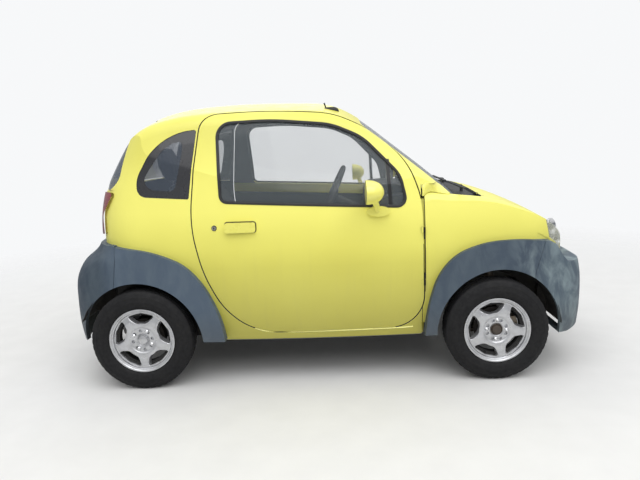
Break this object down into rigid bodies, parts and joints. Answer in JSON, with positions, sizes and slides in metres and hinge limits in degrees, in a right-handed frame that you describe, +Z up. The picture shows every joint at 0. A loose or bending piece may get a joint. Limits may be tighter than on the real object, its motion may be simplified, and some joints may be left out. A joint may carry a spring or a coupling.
{
  "type": "two-seat kei car",
  "caption": "Tiny rounded two-door kei car with plastic arch flares and bumpers, star-spoke alloy wheels, opening doors, bonnet and rear glass.",
  "frame": {"origin": "on the ground under the middle of the car's box", "axes": "+X forward to the nose, +Y to the car's left, +Z up"},
  "size_m": [2.7356, 1.7284, 1.45],
  "materials": {
    "yellow_paint": "gloss pale lemon yellow paint",
    "grey_plastic": "weathered slate grey moulded plastic",
    "black_plastic": "matt black plastic",
    "side_glass": "clear faintly tinted glass",
    "lamp_lens": "clear lamp lens",
    "lamp_bowl": "silvered reflector",
    "red_lens": "red lamp lens",
    "alloy": "silver painted cast alloy",
    "tyre_rubber": "plain black tyre rubber",
    "cast_metal": "bare cast metal",
    "dark_steel": "black underbody paint",
    "engine_alloy": "cast engine block",
    "exhaust_steel": "dull exhaust steel",
    "seat_fabric": "dark grey woven seat cloth"
  },
  "bodies": {
    "root": {"body_shell": "yellow_paint", "tail_lamps": "red_lens", "windscreen": "side_glass", "quarter_glass": "side_glass", "front_wings": "yellow_paint", "headlamp_lenses": "lamp_lens", "headlamp_bowls": "lamp_bowl", "nose_panel": "yellow_paint", "cowl_panel": "black_plastic", "wipers": "black_plastic", "front_bumper": "grey_plastic", "rear_bumper": "grey_plastic", "arch_flares": "grey_plastic", "floor_pan": "dark_steel", "seat_cushion_left": "seat_fabric", "seat_back_left": "seat_fabric", "seat_cushion_right": "seat_fabric", "seat_back_right": "seat_fabric", "dashboard": "black_plastic", "steering_column": "black_plastic", "front_subframe": "dark_steel", "rear_axle": "dark_steel", "engine_block": "engine_alloy", "fuel_tank": "dark_steel", "exhaust": "exhaust_steel", "aerial": "black_plastic"},
    "door_left_body": {"door_left": "yellow_paint", "door_glass_left": "side_glass", "door_mirror_left": "yellow_paint", "door_handle_left": "yellow_paint"},
    "door_right_body": {"door_right": "yellow_paint", "door_glass_right": "side_glass", "door_mirror_right": "yellow_paint", "door_handle_right": "yellow_paint"},
    "bonnet_body": {"bonnet": "yellow_paint"},
    "hatch_body": {"hatch_glass": "side_glass"},
    "knuckle_left_body": {"knuckle_left": "cast_metal"},
    "knuckle_right_body": {"knuckle_right": "cast_metal"},
    "wheel_front_left": {"rim_front_left": "alloy", "tyre_front_left": "tyre_rubber", "brake_disc_front_left": "cast_metal"},
    "wheel_front_right": {"rim_front_right": "alloy", "tyre_front_right": "tyre_rubber", "brake_disc_front_right": "cast_metal"},
    "wheel_rear_left": {"rim_rear_left": "alloy", "tyre_rear_left": "tyre_rubber", "brake_drum_rear_left": "cast_metal"},
    "wheel_rear_right": {"rim_rear_right": "alloy", "tyre_rear_right": "tyre_rubber", "brake_drum_rear_right": "cast_metal"},
    "steering_wheel_body": {"steering_wheel": "black_plastic"}
  },
  "joints": [
    {"name": "door_left_hinge", "type": "hinge", "parent": "root", "child": "door_left_body", "pos_m": [0.4945, 0.689, 0.7], "axis": [0, 0, -1], "range_deg": [0, 65]},
    {"name": "door_right_hinge", "type": "hinge", "parent": "root", "child": "door_right_body", "pos_m": [0.4945, -0.689, 0.7], "axis": [0, 0, 1], "range_deg": [0, 65]},
    {"name": "bonnet_hinge", "type": "hinge", "parent": "root", "child": "bonnet_body", "pos_m": [0.803, 0, 0.93], "axis": [0, -1, 0], "range_deg": [0, 60]},
    {"name": "hatch_hinge", "type": "hinge", "parent": "root", "child": "hatch_body", "pos_m": [-0.934, 0, 1.362], "axis": [0, 1, 0], "range_deg": [0, 75]},
    {"name": "steer_left", "type": "hinge", "parent": "root", "child": "knuckle_left_body", "pos_m": [0.8525, 0.598, 0.178], "axis": [0, -0.1942, 0.981], "range_deg": [-33, 33]},
    {"name": "steer_right", "type": "hinge", "parent": "root", "child": "knuckle_right_body", "pos_m": [0.8525, -0.598, 0.178], "axis": [0, 0.1942, 0.981], "range_deg": [-33, 33]},
    {"name": "steering_turn", "type": "hinge", "parent": "root", "child": "steering_wheel_body", "pos_m": [0.04, -0.34, 0.925], "axis": [-0.9061, 0, 0.423], "range_deg": [-528, 528]},
    {"name": "spin_front_left", "type": "hinge", "parent": "knuckle_left_body", "child": "wheel_front_left", "pos_m": [0.8525, 0.655, 0.2605], "axis": [0, 1, 0], "continuous": true},
    {"name": "spin_front_right", "type": "hinge", "parent": "knuckle_right_body", "child": "wheel_front_right", "pos_m": [0.8525, -0.655, 0.2605], "axis": [0, 1, 0], "continuous": true},
    {"name": "spin_rear_left", "type": "hinge", "parent": "root", "child": "wheel_rear_left", "pos_m": [-0.9475, 0.65, 0.2605], "axis": [0, 1, 0], "continuous": true},
    {"name": "spin_rear_right", "type": "hinge", "parent": "root", "child": "wheel_rear_right", "pos_m": [-0.9475, -0.65, 0.2605], "axis": [0, 1, 0], "continuous": true}
  ],
  "couplings": [
    {"joint": "steer_right", "follows": "steer_left", "ratio": 1},
    {"joint": "steering_turn", "follows": "steer_left", "ratio": 16}
  ]
}
